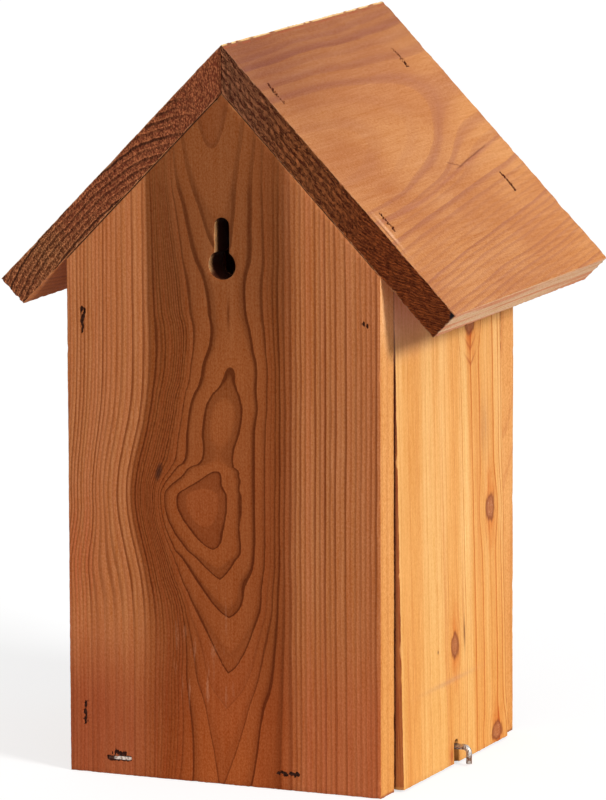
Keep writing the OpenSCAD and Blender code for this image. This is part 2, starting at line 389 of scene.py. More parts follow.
    def make(self, material, body, node):
        """Puts the mesh in the scene in place of its CAD node."""
        places = self.settle(self.to_frame(self.bend(self.wood))) * MM
        mesh = bpy.data.meshes.new(self.name)
        mesh.from_pydata(places.tolist(), [], self.faces)
        mesh.validate()
        for mark in MARKS:
            layer = mesh.attributes.new(mark, "FLOAT", "POINT")
            layer.data.foreach_set("value", getattr(self, mark).astype(np.float32))
        layer = mesh.attributes.new("wood", "FLOAT_VECTOR", "POINT")
        layer.data.foreach_set("vector", self.wood.astype(np.float32).ravel())
        mesh.shade_smooth()
        mesh.set_sharp_from_angle(angle=math.radians(38))
        mesh.materials.append(material)
        piece = add_object(self.name, mesh)
        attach(piece, body)
        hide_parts(node)
        return piece


# ---- Shader trees ----

def feed(tree, socket, item):
    """Sets a socket to a Field, a number or a tuple."""
    if isinstance(item, Field):
        tree.links.new(item.socket, socket)
    elif isinstance(item, (int, float)) and socket.type in ("RGBA", "VECTOR"):
        socket.default_value = (item,) * len(socket.default_value)
    else:
        socket.default_value = item


class Field:
    """One output of a shader tree, which Python's operators extend with Math nodes."""

    def __init__(self, tree, socket):
        self.tree = tree
        self.socket = socket

    def node(self, kind, inputs, output=0, **settings):
        """One output of a new node that takes the inputs, all given by name or number."""
        made = self.tree.nodes.new(kind)
        for title, value in settings.items():
            setattr(made, title, value)
        for key, item in inputs.items():
            feed(self.tree, made.inputs[key], item)
        return Field(self.tree, made.outputs[output])

    @staticmethod
    def constant(tree, colour):
        made = tree.nodes.new("ShaderNodeRGB")
        made.outputs[0].default_value = colour
        return Field(tree, made.outputs[0])

    def math(self, operation, *others):
        items = (self,) + others
        return self.node("ShaderNodeMath", dict(enumerate(items)), operation=operation)

    def __add__(self, other): return self.math("ADD", other)
    def __sub__(self, other): return self.math("SUBTRACT", other)
    def __rsub__(self, other): return (self * -1.0) + other
    def __mul__(self, other): return self.math("MULTIPLY", other)
    def __truediv__(self, other): return self.math("DIVIDE", other)

    def step(self, low, high, start=0.0, end=1.0):
        """Smooth step from start at low to end at high, also where low is above high."""
        if low > high:
            low, high, start, end = high, low, end, start
        return self.node("ShaderNodeMapRange", {"Value": self, "From Min": low, "From Max": high,
                                                "To Min": start, "To Max": end},
                         interpolation_type="SMOOTHSTEP")

    def bell(self, centre, width):
        """Bump of height 1 at the centre that fades over about the width."""
        return (((self - centre) / width).math("POWER", 2.0) * -1.0).math("EXPONENT")

    def curve(self, points, straight=False):
        """Curve through (value, result) points, smooth or of straight stretches."""
        xs, ys = [p[0] for p in points], [p[1] for p in points]
        x_low, x_span = min(xs), max(xs) - min(xs)
        y_low, y_span = min(ys), max(ys) - min(ys)
        made = self.tree.nodes.new("ShaderNodeFloatCurve")
        line = made.mapping.curves[0]
        for _ in range(len(points) - 2):
            line.points.new(0.5, 0.5)
        for point, (x, y) in zip(line.points, sorted(points)):
            point.location = ((x - x_low) / x_span, (y - y_low) / y_span)
            point.handle_type = "VECTOR" if straight else "AUTO"
        made.mapping.update()
        feed(self.tree, made.inputs["Value"], (self - x_low) / x_span)
        return Field(self.tree, made.outputs[0]) * y_span + y_low

    def ramp(self, stops):
        """Colour between two (position, (r, g, b)) stops, in 0-255 display colours."""
        made = self.tree.nodes.new("ShaderNodeValToRGB")
        for element, (position, colour) in zip(made.color_ramp.elements, stops):
            element.position = position
            element.color = rgb(*colour)
        feed(self.tree, made.inputs["Fac"], self)
        return Field(self.tree, made.outputs[0])

    def mix(self, other, share, blend="MIX"):
        """This colour blended towards another by a share."""
        return self.node("ShaderNodeMix", {0: share, 6: self, 7: other}, output=2,
                         data_type="RGBA", blend_type=blend, clamp_factor=True)

    def tint(self, colour, share):
        """This colour multiplied by another, given as plain factors, by a share."""
        return self.mix((*colour, 1), share, blend="MULTIPLY")

    def parts(self):
        made = self.tree.nodes.new("ShaderNodeSeparateXYZ")
        feed(self.tree, made.inputs[0], self)
        return [Field(self.tree, out) for out in made.outputs]

    def noise(self, scale, detail, roughness=0.5, offset=0.0):
        """Noise of about 0 to 1, in a space scaled by a factor for each axis."""
        shift = (offset, offset * 0.7, offset * 1.3)
        spread = self.node("ShaderNodeMapping", {"Vector": self, "Scale": scale, "Location": shift})
        return spread.node("ShaderNodeTexNoise", {"Vector": spread, "Scale": 1.0, "Detail": detail,
                                                  "Roughness": roughness})

    def cells(self):
        """Distance from the nearest of scattered cell centres about one unit apart."""
        return self.node("ShaderNodeTexVoronoi", {"Vector": self, "Scale": 1.0})


def rgb(red, green, blue):
    """Linear colour from 0-255 display values."""
    def linear(value):
        share = value / 255
        return share / 12.92 if share <= 0.04045 else ((share + 0.055) / 1.055) ** 2.4
    return (linear(red), linear(green), linear(blue), 1.0)


def new_material(name):
    material = bpy.data.materials.new(name)
    material.use_nodes = True
    return material, material.node_tree, material.node_tree.nodes["Principled BSDF"]


def bump(shader, height, strength, distance):
    """Relief from a height, which is in units of the distance."""
    relief = height.node("ShaderNodeBump", {"Height": height, "Strength": strength,
                                            "Distance": distance})
    feed(height.tree, shader.inputs["Normal"], relief)


def attribute(tree, name, output):
    made = tree.nodes.new("ShaderNodeAttribute")
    made.attribute_name = name
    return Field(tree, made.outputs[output])


class Timber:
    """What every timber material starts from: its place in the wood, and the mesh's marks."""

    def __init__(self, name, seed):
        self.material, self.tree, self.shader = new_material(name)
        self.wood = attribute(self.tree, "wood", "Vector")
        self.across, self.along, self.depth = self.wood.parts()
        self.end, self.rim, self.wear, self.grime_and_shade = (attribute(self.tree, mark, "Fac")
                                                     for mark in MARKS)
        self.edge = self.rim * (1.0 - self.end)
        self.seed = seed
        self.fibre = self.wood.noise((1.5, 0.045, 1.5), detail=4.0, roughness=0.65, offset=seed)
        self.speck = self.wood.noise((1.3, 0.9, 1.3), detail=3.0, roughness=0.7, offset=seed + 5)
        self.cloud = self.wood.noise((0.02, 0.009, 0.02), detail=2.0, offset=seed + 9)
        self.streak = self.wood.noise((0.4, 0.008, 0.4), detail=3.0, offset=seed + 13)

    def blend(self, first, second, share):
        """From one 0-255 display colour to another by a share."""
        return Field.constant(self.tree, rgb(*first)).mix(rgb(*second), share)

    def warp(self, coarse, fine):
        """Sideways drift of the grain in millimetres: long waves, and short ones."""
        long_wave = self.wood.noise((0.03, 0.009, 0.03), detail=1.0, offset=self.seed + 20) - 0.5
        short_wave = self.wood.noise((0.22, 0.03, 0.22), detail=2.0, offset=self.seed + 30) - 0.5
        return long_wave * (2 * coarse) + short_wave * (2 * fine) + (self.fibre - 0.5) * 0.8

    def late_wood(self, phase, dense=0.0, widths=None, slim=1.0):
        """How dark a growth ring is at a phase: wide rings end in a thin line with a fainter
        one inside it, dense rings are an even wave. widths gives ring number and millimetres,
        and slim makes the lines thinner."""
        share = phase.math("FRACT")
        width = phase.math("FLOOR").curve(widths, straight=True) if widths else 3.0
        inside_line = (1.0 - share) * width * slim
        line = inside_line.curve([(0, 0.3), (0.28, 1), (0.65, 0.5), (1.1, 0.22), (3, 0.1), (14, 0)])
        second = (share - 0.76) * width
        line = line + second.bell(0, 0.3) * 0.16 + share.step(0.5, 1.0) * 0.08
        line = line + second.step(-0.5, 0.5) * phase.step(4.2, 2.8) * 0.28
        wave = share.curve([(0, 0.1), (0.35, 0.12), (0.7, 0.9), (0.85, 1.0), (1, 0.1)])
        return line + (wave - line) * dense

    def ring_strength(self, phase, low, high):
        """Random strength of each ring."""
        chance = self.wood.node("ShaderNodeTexWhiteNoise", {"W": phase.math("FLOOR")}, "Value",
                                noise_dimensions="1D")
        return chance * (high - low) + low

    def oval(self, place, size):
        """Squared distance from a place (across, along), in units of its half sizes."""
        u = (self.across - place[0]) / size[0]
        v = (self.along - place[1]) / size[1]
        return u * u + v * v

    def blot(self, place, size):
        """Soft spot of height 1 at a place."""
        return (self.oval(place, size) * -1.0).math("EXPONENT")

    def patch(self, low, high, soft):
        """1 in the box from low to high (across, along), fading within soft of its sides."""
        return (self.across.step(low[0] - soft, low[0] + soft)
                * self.across.step(high[0] + soft, high[0] - soft)
                * self.along.step(low[1] - soft, low[1] + soft)
                * self.along.step(high[1] + soft, high[1] - soft))

    def vector(self, x, y):
        """A place for noise from two coordinates of the material's own."""
        return x.node("ShaderNodeCombineXYZ", {0: x, 1: y, 2: self.seed})

    def part_round(self, grain, knots):
        """Grain coordinate with its lines parted round each knot."""
        for place, size, pull in knots:
            near = (self.oval(place, (size[0] * 2.2, size[1] * 2.2)) * -1.0).math("EXPONENT")
            grain = grain - (self.across - place[0]) * near * pull
        return grain

    def knot_colour(self, colour, place, size, core, edge):
        """Colour with one knot: a ringed core, a dark outline and a warm halo."""
        wander = (self.wood.noise((0.4, 0.16, 0.5), detail=3.0, offset=place[0]) - 0.5) * 1.0
        radius = self.oval(place, size).math("SQRT") + wander
        rings = (radius * 3.2).math("FRACT").step(0.55, 0.95, 0.0, 0.4)
        flame = (self.oval(place, (size[0] * 1.5, size[1] * 4.0)).math("SQRT") + wander).step(1.3, 0.1)
        colour = colour.tint((0.88, 0.62, 0.46), flame)
        inner = Field.constant(self.tree, core).mix(edge, rings + (self.speck - 0.5))
        inner = inner.mix(rgb(222, 172, 134), self.speck.step(0.54, 0.66) * 0.4)
        outline = radius.bell(0.95, 0.24) * 0.7
        return colour.mix(inner, radius.step(1.2, 0.7) * 0.85).mix(edge, outline)

    def finish(self, colour, height, end_colour=None, grime_and_shade_colour=(56, 24, 14),
               chip_colour=(226, 160, 100), grainy=1.2):
        """Adds fibres, specks, end grain, chips, and dirt with painted shade in holes and pockets, and
        wires the shader.
        """
        shade = ((self.fibre - 0.5) * 0.75 + (self.speck - 0.5) * grainy + (self.cloud - 0.5) * 0.3
                 + (self.streak - 0.5) * 0.35)
        tint = shade.node("ShaderNodeCombineXYZ", {0: shade * 0.5 + 1.0, 1: shade + 1.0,
                                                   2: shade * 1.8 + 1.0})
        colour = colour.mix(tint, 1.0, blend="MULTIPLY")
        if end_colour is not None:
            colour = colour.mix(end_colour, self.end)
        else:
            colour = colour.tint((0.34, 0.26, 0.22), self.end * 0.62)
        chip = (self.wear + (self.speck - 0.5)).step(0.9, 1.9) * 0.5
        colour = colour.mix(rgb(*chip_colour), chip)
        # Dirt, and painted shade in holes and pockets, darken the colour here
        darkened = (self.grime_and_shade + (self.speck - 0.5) * 0.5).step(0.3, 0.85)
        colour = colour.mix(rgb(*grime_and_shade_colour), darkened)
        height = height + self.fibre * 0.10 + self.speck * 0.07 * (self.end * 3.0 + 1.0)
        feed(self.tree, self.shader.inputs["Base Color"], colour)
        feed(self.tree, self.shader.inputs["Roughness"], self.fibre.step(0.2, 0.8, 0.64, 0.82))
        self.shader.inputs["Specular IOR Level"].default_value = 0.1
        bump(self.shader, height, 0.8, MM)
        return self.material


# The back board's heart: how deep it lies under the face, and how far to one side, at each height
HEART_DEPTH = [(0, 33), (33, 31), (46, 29), (63, 26.5), (82, 21.5), (91, 19.3), (100, 16.6),
               (104.5, 13.7), (107, 12.9), (113, 11), (120, 8), (126, 6.6), (131, 9.4), (134.6, 12.1),
               (138, 13.1), (140.3, 13.6), (141.5, 15.5), (143, 17.2), (147, 18), (158, 17.2),
               (165, 17.1), (173, 18.1), (179, 19.2), (186.3, 19.5), (196, 21.2), (210, 22),
               (222, 21.8), (236, 19.4), (254, 17.8), (273, 15.2), (289, 12.6), (320, 9)]
HEART_SIDE = [(0, -1.2), (30, 1.4), (46, 1.8), (60, 2.8), (75, 2.3), (82, 1.2), (91, -1.7), (100, -3.8),
              (107, -6), (113, -8.2), (120, -9.8), (126, -10.2), (130.7, -9), (134.6, -6.9), (138, -4.6),
              (142, -3), (151, -2), (165, 0.3), (173, 1.4), (179, 3), (186, 4), (196, 4.5), (210, 2.4),
              (236, 0), (254, -2.1), (280, -4.4), (320, -3)]
# Ring number at a distance from the heart, and, in the flanks, at a distance across the board
RINGS_NEAR = [(0, 0), (13.6, 1), (19.5, 2), (23.9, 3), (28.8, 4), (31.2, 5), (33.4, 6), (38, 7.4),
              (47, 9.8), (90, 27)]
RINGS_FAR = [(-90, 45), (-72, 34), (-55, 24.5), (-36, 17), (-25, 12), (-8, 3), (16.4, 4.6), (33, 9),
             (90, 33)]
# Width of a ring, by its number
RING_WIDTHS = [(0, 13.6), (1, 5.9), (2, 4.4), (3, 4.9), (4, 2.4), (5, 2.2), (8, 2), (45, 2)]
# How thin the ring lines are drawn at each height: above 1 is thinner, and below 1 wider
LINE_SLIM = [(0, 1.9), (40, 1.7), (70, 0.85), (170, 0.8), (200, 0.65), (235, 0.45), (320, 0.4)]


def back_timber():
    """Flat-sawn heartwood, weathered brown down its middle, with an eye round a buried knot."""
    timber = Timber("back_timber", seed=1.0)
    across, along, depth = timber.across, timber.along, timber.depth
    calm = across.step(7.5, 12.5) * along.step(86, 102) * along.step(172, 156)
    heart = along.curve(HEART_SIDE)
    heart = heart + (-1.2 - heart) * calm
    pull = across.step(30, 8) * across.step(-40, -20)
    beside = across.step(-18, -40) * across.step(-90, -40, 0.2, 1.0)
    bulge = along.bell(127, 30) * beside * 9.0
    flare = along.step(122, 90) * across.step(-46, -67) * 7.0
    bent = across - heart * pull + bulge + flare + timber.warp(0.9, 0.35)
    deep = along.curve(HEART_DEPTH)
    deep = deep + along.bell(139.5, 3.0) * across.step(1, 5) * 2.0
    deep = deep + (17.3 - deep) * calm - depth
    side = bent.math("ABSOLUTE")
    side = side + (side / -16.0).math("EXPONENT") * along.step(112, 88) * 4.5
    near = (side * side + deep * deep).math("SQRT").curve(RINGS_NEAR, straight=True)
    far = (bent + depth * 0.35).curve(RINGS_FAR, straight=True)
    dense = bent.math("ABSOLUTE").step(17, 34)
    phase = near + (far - near) * dense
    slim = (bent.math("ABSOLUTE") / deep).step(0, 0.6, 3.4, 1.0)
    slim = slim * along.curve(LINE_SLIM, straight=True)
    late = timber.late_wood(phase, dense, RING_WIDTHS, slim)
    left = bent.step(-38.0, -34.5)
    left = left + (bent.step(-46, -24) - left) * along.step(112, 50)
    middle = left * bent.step(40, 25)
    foot = along.step(78, 30) * (timber.cloud + 0.3)
    left_foot = foot * bent.step(-14, -45)
    flank = bent.math("ABSOLUTE").step(12, 30)
    heartwood = timber.blend((166, 92, 45), (154, 83, 38), flank)
    early = Field.constant(timber.tree, rgb(205, 127, 75)).mix(heartwood, middle)
    dark = timber.blend((134, 66, 28), (103, 46, 13), middle)
    strength = timber.ring_strength(phase, 0.3, 1.0)
    strength = strength + (0.78 - strength) * phase.step(4.5, 1.5)
    strength = strength * (1.0 - across.step(20, 45) * along.step(150, 30) * 0.4)
    strength = strength * (1.0 - across.step(-8, -34) * along.step(92, 60) * 0.55)
    fading = [(0, 1), (180, 1), (235, 0.8), (262, 0.7), (276, 0.4), (320, 0.4)]
    strength = strength * along.curve(fading)
    blush = timber.ring_strength(phase + 50.0, 0.0, 1.0)
    early = early.tint((1.0, 0.88, 0.94), blush * 0.6)
    colour = early.mix(dark, late * strength)
    colour = colour.tint((1.0, 0.9, 0.86), middle * along.step(200, 120))
    colour = colour.tint((0.84, 0.9, 1.0), middle * along.step(180, 240))
    colour = colour.tint((1.2, 1.22, 1.12), middle * along.step(70, 0))
    colour = colour.tint((0.7, 0.54, 0.5), left_foot)
    colour = colour.tint((1.0, 0.82, 0.82), foot * 0.8)
    right_foot = across.step(28, 44) * along.step(120, 20)
    colour = colour.tint((0.95, 0.85, 0.83), right_foot)
    red_edge = timber.blot((-69, 92), (9, 30)) * timber.streak.step(0.4, 0.6)
    colour = colour.mix(rgb(198, 92, 52), red_edge * (0.75 - late * 0.5))
    scratches = timber.wood.noise((0.5, 0.06, 0.5), detail=3.0, offset=44).step(0.56, 0.68)
    colour = colour.mix(rgb(196, 128, 92), timber.patch((-24, 36), (3, 84), 8) * scratches * 0.45)
    lean = across - along * 0.22
    scar = (((lean + 61.3) / 1.7).math("POWER", 2.0) + ((along - 138.0) / 4.4).math("POWER", 2.0))
    colour = colour.mix(rgb(66, 34, 22), (scar + timber.fibre).step(1.9, 0.4) * 0.85)
    colour = colour.mix(dark, timber.blot((2.9, 210), (0.6, 6)) * 0.8)
    slack = (APEX_H - along) * math.cos(PITCH) - across.math("ABSOLUTE") * math.sin(PITCH)
    # Painted shade: a thin dark line along one slope of the gable, where it meets the roof's underside
    colour = colour.mix(rgb(54, 24, 12), slack.step(0.8, 0.3) * across.step(4, -4))
    timber.wear = timber.wear * slack.step(1.0, 3.0)
    fresh = timber.blend((233, 163, 94), (206, 126, 68), late * 0.35)
    fresh = fresh.tint((0.97, 0.92, 0.76), along.step(130, 0))
    # Painted light: the top of the board's side edge, in the roof's shadow, is painted lighter and warmer
    fresh = fresh.mix(rgb(255, 190, 128), along.step(190, 216) * 0.8)
    colour = colour.mix(fresh, timber.edge)
    return timber.finish(colour, late * 0.03 * (1.0 - timber.edge), grainy=middle * 0.5 + 1.2)


def front_timber():
    """Flat-sawn board of fresher colour, with plain cathedral arches."""
    timber = Timber("front_timber", seed=2.0)
    across, along, depth = timber.across, timber.along, timber.depth
    heart = along.curve([(0, -6), (90, 4), (180, -3), (310, 8)])
    bent = across - heart + timber.warp(1.6, 0.35)
    deep = along.curve([(0, 34), (70, 27), (140, 20), (200, 16), (260, 9), (310, 3)])
    deep = deep - depth
    phase = (bent * bent + deep * deep).math("SQRT") / 3.6
    late = timber.late_wood(phase)
    early = timber.blend((214, 142, 90), (190, 116, 68), timber.cloud.step(0.35, 0.65))
    colour = early.mix(rgb(158, 88, 48), late * timber.ring_strength(phase, 0.45, 0.95))
    fresh = timber.blend((233, 163, 94), (206, 126, 68), late * 0.4)
    fresh = fresh.tint((0.97, 0.92, 0.8), along.step(130, 0))
    colour = colour.mix(fresh, timber.edge)
    return timber.finish(colour, late * 0.05)


# Knots of the door: place (across, along), half sizes, and how far they part the grain
DOOR_KNOTS = [((44, 109), (4.4, 5.6), 0.85), ((0.5, 54), (3.8, 5.4), 0.85),
              ((24, 196), (5.2, 4.6), 0.8), ((48, 6), (5.4, 4.0), 0.7)]
# Ring number at a distance across a side board: fine on one side, wider on the other
SIDE_RINGS = [(-90, 0), (-8, 50), (16, 60), (90, 84)]


def side_timber(name="door_timber", seed=3.0, knots=DOOR_KNOTS):
    """Fresh honey-coloured sapwood with straight grain and small knots."""
    timber = Timber(name, seed)
    grain = timber.part_round(timber.across, knots) + timber.warp(1.2, 0.25)
    phase = grain.curve(SIDE_RINGS, straight=True) + timber.depth * 0.12
    late = timber.late_wood(phase)
    belt = timber.wood.noise((0.07, 0.0025, 0.02), detail=2.0, offset=seed + 3)
    early = timber.blend((246, 189, 117), (236, 167, 93), belt.step(0.35, 0.62))
    strength = timber.ring_strength(phase, 0.0, 1.0).step(0.25, 1.0) * 0.8 + 0.12
    strength = strength * timber.across.step(0, 44, 0.55, 1.7)
    red = timber.wood.noise((0.16, 0.004, 0.12), detail=2.0, offset=seed + 7).step(0.56, 0.72)
    colour = early.mix(rgb(204, 112, 44), late * strength).mix(rgb(220, 138, 72), red * 0.5)
    for place, size, _ in knots:
        colour = timber.knot_colour(colour, place, size, rgb(182, 112, 72), rgb(130, 62, 36))
    return timber, colour, late


def door_timber():
    """The door's board, with the marks it has picked up, and painted light and shade near the roof and
    its back edge.
    """
    timber, colour, late = side_timber()
    across, along, depth = timber.across, timber.along, timber.depth
    # Place, half sizes, colour and share of a scuff, a fleck, two streaks and the rust at the slot
    marks = [((-6, 39), (26, 1.2), (208, 150, 118), 0.45),
             ((-19, 54.5), (0.6, 0.8), (120, 66, 38), 0.9),
             ((11.5, 58), (0.9, 6.5), (104, 52, 28), 0.9),
             ((10.5, 72), (0.8, 16), (214, 132, 68), 0.7),
             ((-5.5, 5), (2.0, 4), (190, 98, 58), 0.8)]
    for place, size, tint, share in marks:
        colour = colour.mix(rgb(*tint), timber.blot(place, size) * share)
    smear = timber.blot((39, 146), (4.6, 13)) * timber.fibre.step(0.35, 0.6)
    colour = colour.mix(rgb(180, 116, 78), smear * 0.6)
    beside = across - 24.5
    for tip in (184.0, 177.0):
        arms = along - beside.math("ABSOLUTE") * 0.8 - tip
        colour = colour.mix(rgb(184, 92, 44), arms.bell(0, 0.9) * beside.bell(0, 5.5) * 0.75)
    edge = timber.edge * across.step(-40, -50)
    # Painted shade: the door's back edge darkens where it slips behind the back board, along a line that
    # drops as the door stands further out towards the bottom
    tucked = depth - (PIVOT_H - along) * AJAR_SLOPE + timber.speck
    # The door's back edge is painted a darker red-brown, in streaks along the fibres
    darker_edge = timber.fibre.step(0.3, 0.7, 0.7, 1.0)
    colour = colour.mix(rgb(150, 74, 42), edge * darker_edge)
    colour = colour.mix(rgb(84, 36, 20), edge * tucked.step(0.0, 0.7))
    # Painted light: the top of the door near its back edge, in the eave's shadow, is painted lighter and
    # pinker, for the warm light that falls into that shadow
    painted_light_under_eave = along.step(186, 212) * across.step(10, -45)
    colour = colour.mix(rgb(255, 188, 148), painted_light_under_eave * 0.85)
    colour = colour.tint((0.97, 0.91, 0.78), along.step(130, 0))
    return timber.finish(colour, late * 0.04, grainy=0.6)


def plain_side_timber():
    """The fixed side's and the floor's board."""
    knots = [((-22, 70), (4.0, 8), 0.7), ((30, 160), (3.2, 6.5), 0.7)]
    timber, colour, late = side_timber("side_timber", 6.0, knots)
    colour = colour.tint((1.0, 0.92, 0.88), 1.0)
    return timber.finish(colour, late * 0.04, grainy=0.6)


# The roof boards' heart, at each distance from the board's start: how deep it lies, and how far
# towards the ridge from its axis
ROOF_HEART = [(0, 20), (38, 22.5), (68, 26.3), (102, 31.3), (119, 34), (136, 36.8), (150, 38.5),
              (180, 39.5)]
ROOF_SWAY = [(0, 0), (38, 1.8), (68, 4.6), (102, 7), (119, 9.5), (138, 13), (180, 17)]
# Ring number, counted from the bark, at a distance from the heart; the same beyond the arches, at
# a distance across the board; and the rings' widths
ROOF_RINGS = [(0, 50), (24, 49), (31, 48), (37, 47), (43.5, 46), (49, 45), (53.5, 44), (58, 43),
              (63.5, 41.5), (80, 35), (150, 6)]
ROOF_RINGS_FAR = [(-2, 50), (43.5, 45), (54.4, 43), (62.5, 41), (130, 19)]
ROOF_WIDTHS = [(0, 2.6), (36, 2.6), (41, 3.6), (44, 4.5), (45, 5.5), (46, 6.5), (48, 7), (50, 12)]
# The split in the door's roof board: how far down the slope at each distance from the start
SPLIT = [(0, 104), (50, 101), (110, 92), (180, 81.5)]


def roof_timber(name, seed, axis, ends, split_share, chip_colour):
    """Flat-sawn roof board: soft purplish arches round an axis, and fine saw lines."""
    timber = Timber(name, seed)
    across, along, depth = timber.across, timber.along, timber.depth
    sway = timber.warp(2.2, 0.7)
    off = across - axis + along.curve(ROOF_SWAY) + sway
    deep = along.curve(ROOF_HEART) - depth
    phase = (off * off + deep * deep).math("SQRT").curve(ROOF_RINGS, straight=True)
    far = (across - axis + along * 0.12 + sway).curve(ROOF_RINGS_FAR, straight=True)
    phase = phase + (far - phase) * off.step(30, 45)
    late = timber.late_wood(phase, off.step(28, 50, 0.0, 0.9), ROOF_WIDTHS, off.step(25, 50, 0.22, 0.9))
    strength = timber.ring_strength(phase, 0.2, 0.95)
    strength = strength + (0.75 - strength) * phase.bell(46.6, 0.45)
    strength = strength * phase.step(46.98, 47.02, 1.0, 0.35)
    shade = timber.wood.noise((0.02, 0.012, 0.02), detail=2.0, offset=seed + 3).step(0.35, 0.65)
    early = timber.blend((206, 140, 87), (192, 124, 76), shade)
    colour = early.mix(rgb(166, 102, 76), late * strength * 0.8)
    purple = across.step(50, 4) + timber.blot((40, 20), (30, 40)) * 0.3
    colour = colour.tint((0.66, 0.6, 0.68), purple * 0.8)
    colour = colour.tint((0.8, 0.76, 0.78), timber.blot((8, 12), (50, 60)))
    colour = colour.tint((1.14, 1.18, 1.1), along.step(90, 180))
    underside = depth.step(ROOF_T - 1.5, ROOF_T - 0.2)
    colour = colour.tint((0.95, 0.8, 0.77), underside)
    saw = (along * 3.1 + timber.warp(0.8, 0.2) * 1.5).math("SINE")
    rows = saw * 0.5 + 0.5
    colour = colour.tint((0.90, 0.86, 0.84), rows * timber.cloud * 0.9)
    beside = across - along.curve(SPLIT) + timber.warp(0.6, 0.5)
    colour = colour.mix(rgb(168, 102, 78), beside.bell(0.6, 1.1) * split_share * 0.7)
    stretch = along.step(110, 117) * along.step(162, 150)
    colour = colour.mix(rgb(124, 66, 44), beside.bell(0, 0.4) * stretch * split_share)
    tick = (across - 90.8 - (along - 118.5) * 0.35 + timber.warp(0.4, 0.4)).bell(0, 0.35)
    stretch = along.step(107, 110) * along.step(119, 117)
    colour = colour.mix(rgb(136, 76, 52), tick * stretch * split_share)
    colour = colour.mix(rgb(120, 62, 40), timber.blot((110, 3.0), (8, 0.6)) * split_share)
    colour = colour.mix(rgb(240, 186, 146), timber.blot((110, 5.0), (8, 1.3)) * split_share)
    fresh = timber.blend((255, 208, 164), (240, 158, 112), timber.streak.step(0.45, 0.6))
    colour = colour.mix(fresh, timber.edge)
    broken = timber.wood.noise((0.1, 0.12, 0.1), detail=3.0, offset=seed + 17).step(0.4, 0.5)
    colour = colour.mix(rgb(96, 52, 34), across.step(3, 1) * depth.step(0.3, 1.0))
    ridge = broken * depth.step(0.8, 0.2)
    colour = colour.mix(rgb(250, 208, 142), across.step(1.3, 0.6) * ridge * 0.9)
    colour = colour.mix(rgb(168, 84, 56), across.bell(1.9, 0.6) * ridge * 0.6)
    end_colour, relief = ends(timber)
    height = rows * 0.03 * (1.0 - timber.end) + late * 0.02 + relief * timber.end
    return timber.finish(colour, height, end_colour=end_colour, grime_and_shade_colour=(86, 36, 20),
                         chip_colour=chip_colour)


def torn_end(timber):
    """Dark end grain torn into layers along the slope, slanting towards the eave."""
    across, depth = timber.across, timber.depth
    slant = (across - 84.0).math("MAXIMUM", 0.0)
    level = depth + slant * slant * 0.0052 + timber.warp(1.8, 0.8)
    torn = timber.vector(across * 0.2, level * 0.8).noise((1, 1, 1), detail=3.0, roughness=0.6)
    fine = timber.vector(across * 0.45, level * 1.7).noise((1, 1, 1), detail=3.0, roughness=0.7)
    ragged = (torn + (fine - 0.5) * 0.3 - 0.5).math("ABSOLUTE").step(0.06, 0.01)
    upper = across.step(110, 66)
    coarse = (level * 2.2 + torn * 3.0).math("SINE") * upper
    layers = coarse + (level * 5.0).math("SINE") * (1.0 - upper) * 0.7
    bright = ((torn - 0.5) * 2.0 + (fine - 0.5) * 3.2 + layers * 0.28) * (upper * 0.3 + 0.7) + 0.36
    bright = (bright + ragged * (upper * 0.5 + 0.1)).step(0.0, 1.1)
    grey = across.step(56, 6)
    red = across.step(60, 120)
    fibre = timber.blend((172, 98, 54), (176, 110, 74), grey)
    dark = timber.blend((84, 36, 14), (86, 38, 22), grey)
    colour = dark.mix(fibre, bright).tint((1.0, 0.74, 0.5), red)
    corner = ((across - 158.0) / 4.0).math("POWER", 2.0) + (depth / 4.0).math("POWER", 2.0)
    colour = colour.mix(rgb(32, 26, 28), (corner + fine).step(1.6, 1.1))
    return colour, bright * 0.8 + ragged * upper * 0.4


def speckled_end(timber):
    """Reddish end grain of fine bright specks between thin, dark ring arcs."""
    across, depth = timber.across, timber.depth
    off = across - 104.0
    reach = 190.0 - depth
    rise = (off * off + reach * reach).math("SQRT") + timber.warp(1.8, 0.6)
    phase = rise / 2.7
    line = phase.math("FRACT") - 0.5
    late = line.math("ABSOLUTE").step(0.24, 0.05)
    late = late * timber.ring_strength(phase, 0.3, 1.0) * across.step(14, 50)
    beads = timber.vector(across * 1.15, rise * 1.3).cells()
    dots = (beads + (timber.speck - 0.5) * 1.3).step(0.8, 0.15)
    ruddy = timber.cloud.step(0.35, 0.6) + across.step(50, 20)
    base = timber.blend((112, 60, 32), (116, 54, 32), ruddy)
    bead = timber.blend((206, 134, 86), (200, 118, 74), ruddy)
    rim = line.bell(0.3, 0.08) * across.step(14, 50) * 0.4
    colour = base.mix(bead, dots * 0.7 + rim).mix(rgb(62, 28, 14), late)
    return colour, dots * 0.35 - late * 1.1


